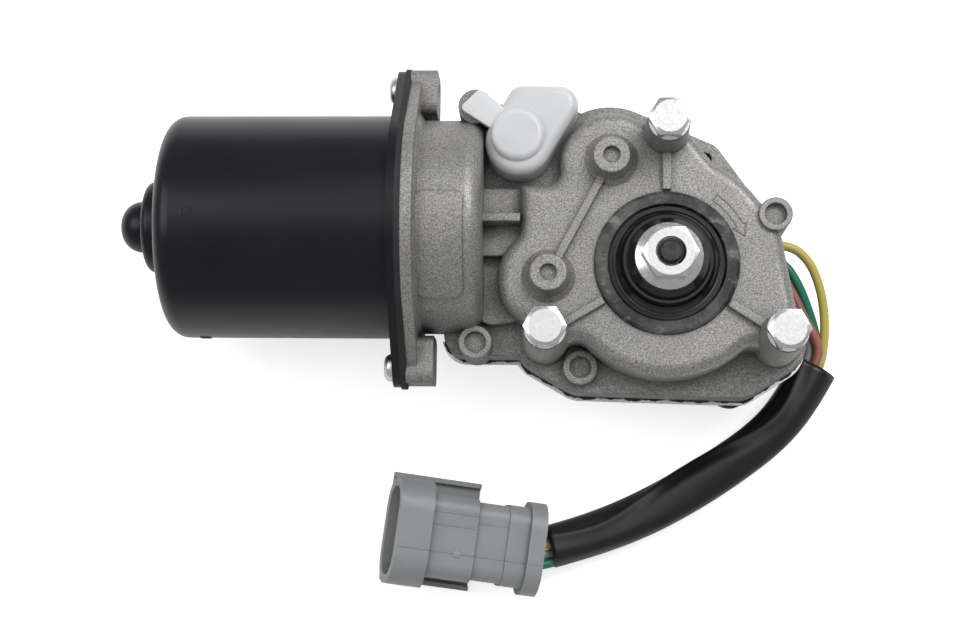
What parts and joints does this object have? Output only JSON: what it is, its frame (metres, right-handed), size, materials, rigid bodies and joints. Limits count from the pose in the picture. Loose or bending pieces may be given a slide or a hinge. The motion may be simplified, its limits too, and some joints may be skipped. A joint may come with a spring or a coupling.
{
  "type": "wiper motor",
  "caption": "Windscreen wiper motor with a die-cast gearbox, worm and idler gearing, a threaded output shaft with a flange nut, and a wired connector.",
  "frame": {"origin": "on the output shaft's axis, in the plane of the bracket seats on top of the bosses", "axes": "+Z out along the output shaft, -X towards the motor can, +Y towards the upper boss"},
  "size_m": [0.203, 0.1471, 0.068],
  "materials": {
    "cast_aluminium": "shot-blasted die casting",
    "black_can": "satin black coating",
    "zinc": "zinc plated",
    "ground_steel": "ground",
    "dark_steel": "phosphated",
    "lamination_steel": "stacked sheets",
    "copper": "enamelled copper wire and copper bars",
    "bronze": "sintered bronze",
    "ferrite": "matt dark grey ferrite",
    "carbon": "matt carbon",
    "gear_plastic": "moulded acetal",
    "black_plastic": "moulded",
    "black_rubber": "matt",
    "black_cap": "glossy",
    "worn_ring": "worn",
    "white_plastic": "translucent",
    "grey_plastic": "satin",
    "contact_brass": "plain",
    "yellow_insulation": "satin",
    "green_insulation": "satin",
    "brown_insulation": "satin",
    "grey_insulation": "satin",
    "black_sleeve": "satin"
  },
  "bodies": {
    "housing": {"gear_housing": "cast_aluminium", "motor_can": "black_can", "can_gasket": "black_rubber", "can_screws": "zinc", "magnets": "ferrite", "magnet_clips": "ground_steel", "rear_bush": "bronze", "bush_retainer": "ground_steel", "thrust_pad": "black_plastic", "front_bush": "bronze", "brush_holder": "black_plastic", "brushes": "carbon", "brush_springs": "ground_steel", "chokes": "ferrite", "idler_pins": "ground_steel", "output_bush": "bronze", "hub_ring": "worn_ring", "mounting_bolts": "zinc", "bolt_washers": "zinc", "cover_gasket": "black_rubber", "gear_cover": "zinc", "cover_screws": "zinc", "switch_housing": "black_plastic", "contact_carrier": "black_plastic", "contact_fingers": "contact_brass", "wire_grommet": "black_rubber", "vent_cap": "white_plastic", "wire_yellow": "yellow_insulation", "wire_green": "green_insulation", "wire_brown": "brown_insulation", "wire_grey": "grey_insulation", "harness_sleeve": "black_sleeve", "connector_body": "grey_plastic", "connector_terminals": "contact_brass", "connector_seal": "black_rubber", "connector_clip": "grey_plastic"},
    "armature": {"armature_shaft": "ground_steel", "armature_core": "lamination_steel", "armature_windings": "copper", "commutator": "copper"},
    "idler_a": {"idler_gear_a": "gear_plastic"},
    "idler_b": {"idler_gear_b": "gear_plastic"},
    "output": {"output_gear": "gear_plastic", "park_disc": "contact_brass", "thrust_washer": "ground_steel", "output_shaft": "dark_steel", "retaining_ring": "ground_steel", "shaft_cap": "black_cap", "shaft_nut": "zinc"}
  },
  "joints": [
    {"name": "armature_spin", "type": "hinge", "parent": "housing", "child": "armature", "pos_m": [0, 0.0123, -0.026], "axis": [1, 0, 0], "continuous": true},
    {"name": "idler_a_spin", "type": "hinge", "parent": "housing", "child": "idler_a", "pos_m": [-0.03179, -0.0037, 0], "axis": [0, 0, 1], "continuous": true},
    {"name": "idler_b_spin", "type": "hinge", "parent": "housing", "child": "idler_b", "pos_m": [-0.01494, 0.0283, 0], "axis": [0, 0, 1], "continuous": true},
    {"name": "output_spin", "type": "hinge", "parent": "housing", "child": "output", "pos_m": [0, 0, 0], "axis": [0, 0, 1], "continuous": true}
  ],
  "couplings": [
    {"joint": "idler_a_spin", "follows": "armature_spin", "ratio": 0.076923},
    {"joint": "idler_b_spin", "follows": "armature_spin", "ratio": 0.076923},
    {"joint": "output_spin", "follows": "armature_spin", "ratio": -0.017751}
  ]
}
